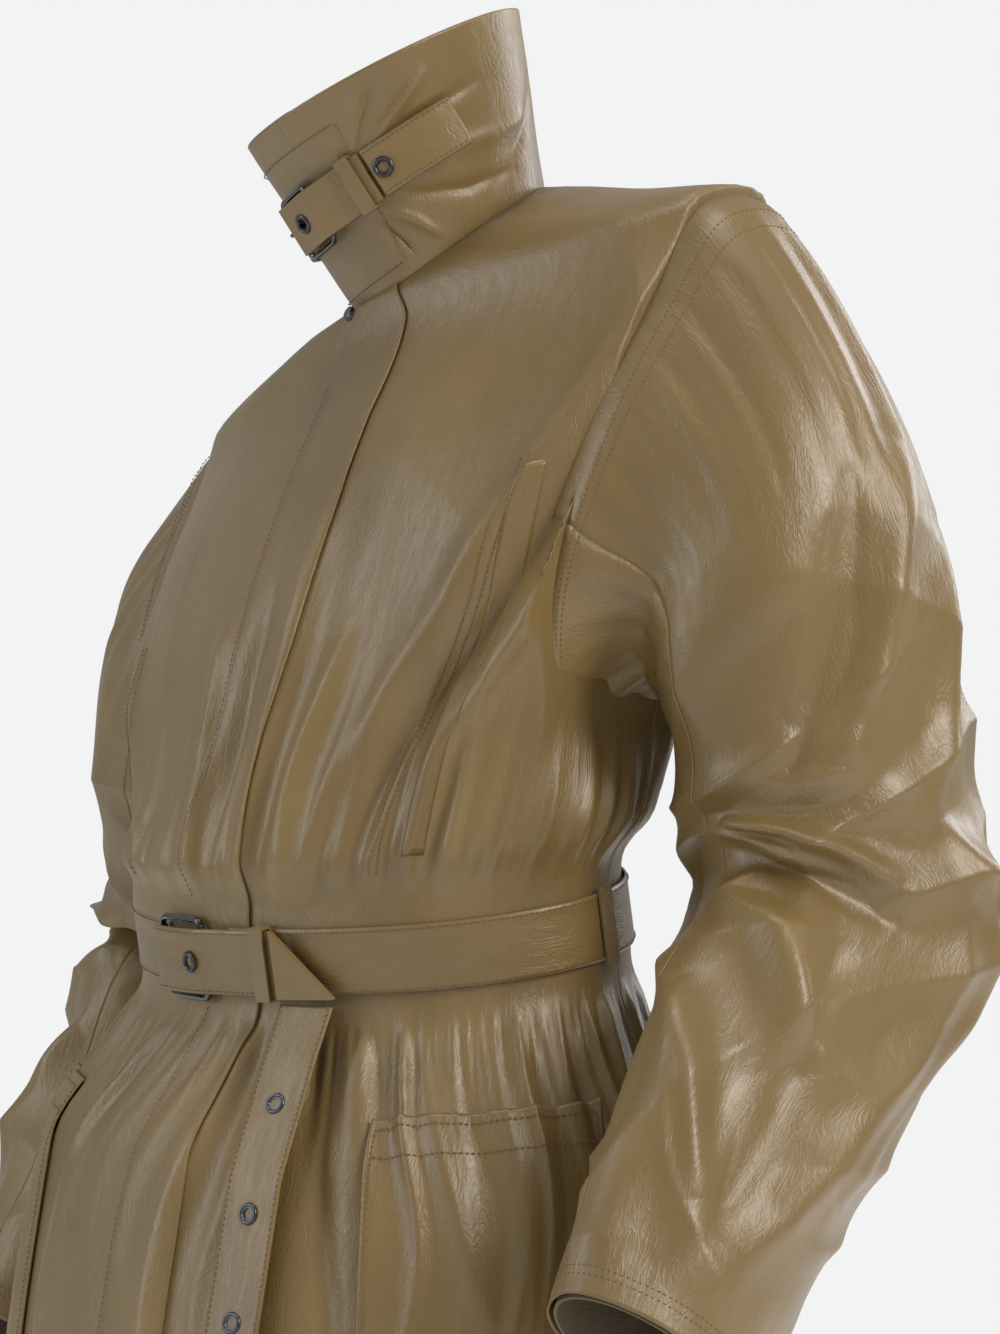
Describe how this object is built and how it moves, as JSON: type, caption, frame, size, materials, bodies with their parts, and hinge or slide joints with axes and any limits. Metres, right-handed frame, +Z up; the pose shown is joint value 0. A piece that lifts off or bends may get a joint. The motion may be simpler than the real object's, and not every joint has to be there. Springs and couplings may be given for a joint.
{
  "type": "belted coat",
  "caption": "Belted long coat in stiff khaki coated cotton, its tall collar closed by a buckled throat strap, the belt buckled at the waist with its tail hanging.",
  "frame": {"origin": "middle of the neckline, where the collar is sewn to the shoulders", "axes": "+Z up, -Y out of the coat's front, +X towards the wearer's left"},
  "size_m": [0.7517, 0.4818, 1.2664],
  "materials": {
    "shell_cloth": "satin",
    "lining_cloth": "matte",
    "black_enamel": "gloss",
    "button_resin": "satin"
  },
  "bodies": {
    "coat_body": {"right_front": "shell_cloth", "left_front": "shell_cloth", "right_back": "shell_cloth", "left_back": "shell_cloth", "fly_facing": "lining_cloth", "button_stand": "shell_cloth", "fly_buttons": "button_resin", "left_chest_welt": "shell_cloth", "right_chest_welt": "shell_cloth", "left_pocket": "shell_cloth", "right_pocket": "shell_cloth", "collar_outer": "shell_cloth", "collar_underlap": "shell_cloth", "collar_lining": "lining_cloth", "neck_stud": "black_enamel", "hanger_loop": "shell_cloth", "belt_strap": "shell_cloth", "belt_buckle_frame": "black_enamel", "belt_chape": "shell_cloth", "belt_tongue": "shell_cloth", "belt_tongue_eyelet": "black_enamel", "belt_keeper": "shell_cloth", "belt_fold": "shell_cloth", "left_belt_loop": "shell_cloth", "right_belt_loop": "shell_cloth", "back_belt_loop": "shell_cloth", "throat_buckle_frame": "black_enamel", "throat_chape": "shell_cloth", "throat_anchor": "shell_cloth", "throat_base": "shell_cloth", "throat_tongue": "shell_cloth", "throat_tongue_eyelet": "black_enamel", "throat_keeper": "shell_cloth"},
    "left_sleeve": {"left_sleeve_top": "shell_cloth", "left_sleeve_under": "shell_cloth", "left_sleeve_lining": "lining_cloth", "left_cuff_facing": "lining_cloth"},
    "right_sleeve": {"right_sleeve_top": "shell_cloth", "right_sleeve_under": "shell_cloth", "right_sleeve_lining": "lining_cloth", "right_cuff_facing": "lining_cloth"},
    "belt_tail_body": {"belt_tail": "shell_cloth", "belt_tail_eyelets": "black_enamel"},
    "belt_prong_body": {"belt_buckle_prong": "black_enamel"},
    "belt_roller_body": {"belt_buckle_roller": "black_enamel"},
    "throat_prong_body": {"throat_buckle_prong": "black_enamel"},
    "throat_roller_body": {"throat_buckle_roller": "black_enamel"},
    "throat_tip_body": {"throat_tip": "shell_cloth", "throat_tip_eyelet": "black_enamel"}
  },
  "joints": [
    {"name": "left_sleeve_swing", "type": "hinge", "parent": "coat_body", "child": "left_sleeve", "pos_m": [0.203, 0.025, -0.136], "axis": [-0.9941, 0, 0.1084], "range_deg": [0, 50]},
    {"name": "right_sleeve_swing", "type": "hinge", "parent": "coat_body", "child": "right_sleeve", "pos_m": [-0.203, 0.02, -0.225], "axis": [-0.9889, 0, -0.1483], "range_deg": [0, 50]},
    {"name": "belt_tail_lift", "type": "hinge", "parent": "coat_body", "child": "belt_tail_body", "pos_m": [0.0685, -0.1754, -0.45815], "axis": [-0.9867, -0.1627, 0], "range_deg": [0, 45]},
    {"name": "belt_prong_lift", "type": "hinge", "parent": "coat_body", "child": "belt_prong_body", "pos_m": [-0.01631, -0.18315, -0.43594], "axis": [0, -0.1676, 0.9859], "range_deg": [0, 1.5]},
    {"name": "belt_roller_turn", "type": "hinge", "parent": "coat_body", "child": "belt_roller_body", "pos_m": [-0.05969, -0.17719, -0.43493], "axis": [0, -0.1676, 0.9859], "continuous": true},
    {"name": "throat_prong_lift", "type": "hinge", "parent": "coat_body", "child": "throat_prong_body", "pos_m": [0.001, -0.10787, 0.01456], "axis": [-0.3567, -0.3907, 0.8486], "range_deg": [0, 1.5]},
    {"name": "throat_roller_turn", "type": "hinge", "parent": "coat_body", "child": "throat_roller_body", "pos_m": [-0.02906, -0.09965, 0.00571], "axis": [-0.3567, -0.3907, 0.8486], "continuous": true},
    {"name": "throat_tip_lift", "type": "hinge", "parent": "coat_body", "child": "throat_tip_body", "pos_m": [0.04198, -0.10166, 0.03465], "axis": [0.3567, 0.3907, -0.8486], "range_deg": [0, 35]}
  ]
}
